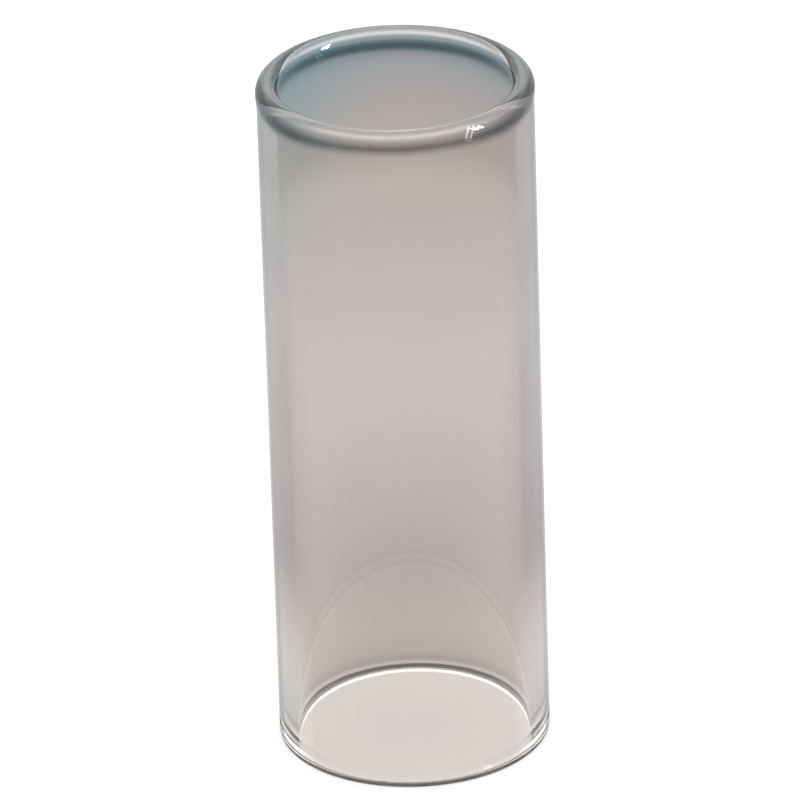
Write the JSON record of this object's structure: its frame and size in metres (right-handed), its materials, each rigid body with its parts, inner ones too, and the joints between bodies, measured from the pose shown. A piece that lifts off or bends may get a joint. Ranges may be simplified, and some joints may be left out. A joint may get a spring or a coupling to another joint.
{
  "type": "guitar slide",
  "caption": "Clear glass bottleneck guitar slide: a straight one-piece tube, open at both ends, with a fire-polished top rim, a square-cut foot and a bore for the player's finger.",
  "frame": {"origin": "centre of the foot rim, on the surface that the slide stands on", "axes": "+Z along the tube's axis, from the foot rim to the fully rounded top rim; the tube is the same all round, so +X and +Y are free"},
  "size_m": [0.0264, 0.0264, 0.069],
  "materials": {
    "glass": "clear, smooth, with a faint warm grey cast and a blue-green cast at the rims"
  },
  "bodies": {
    "root": {"glass_tube": "glass"}
  },
  "joints": []
}
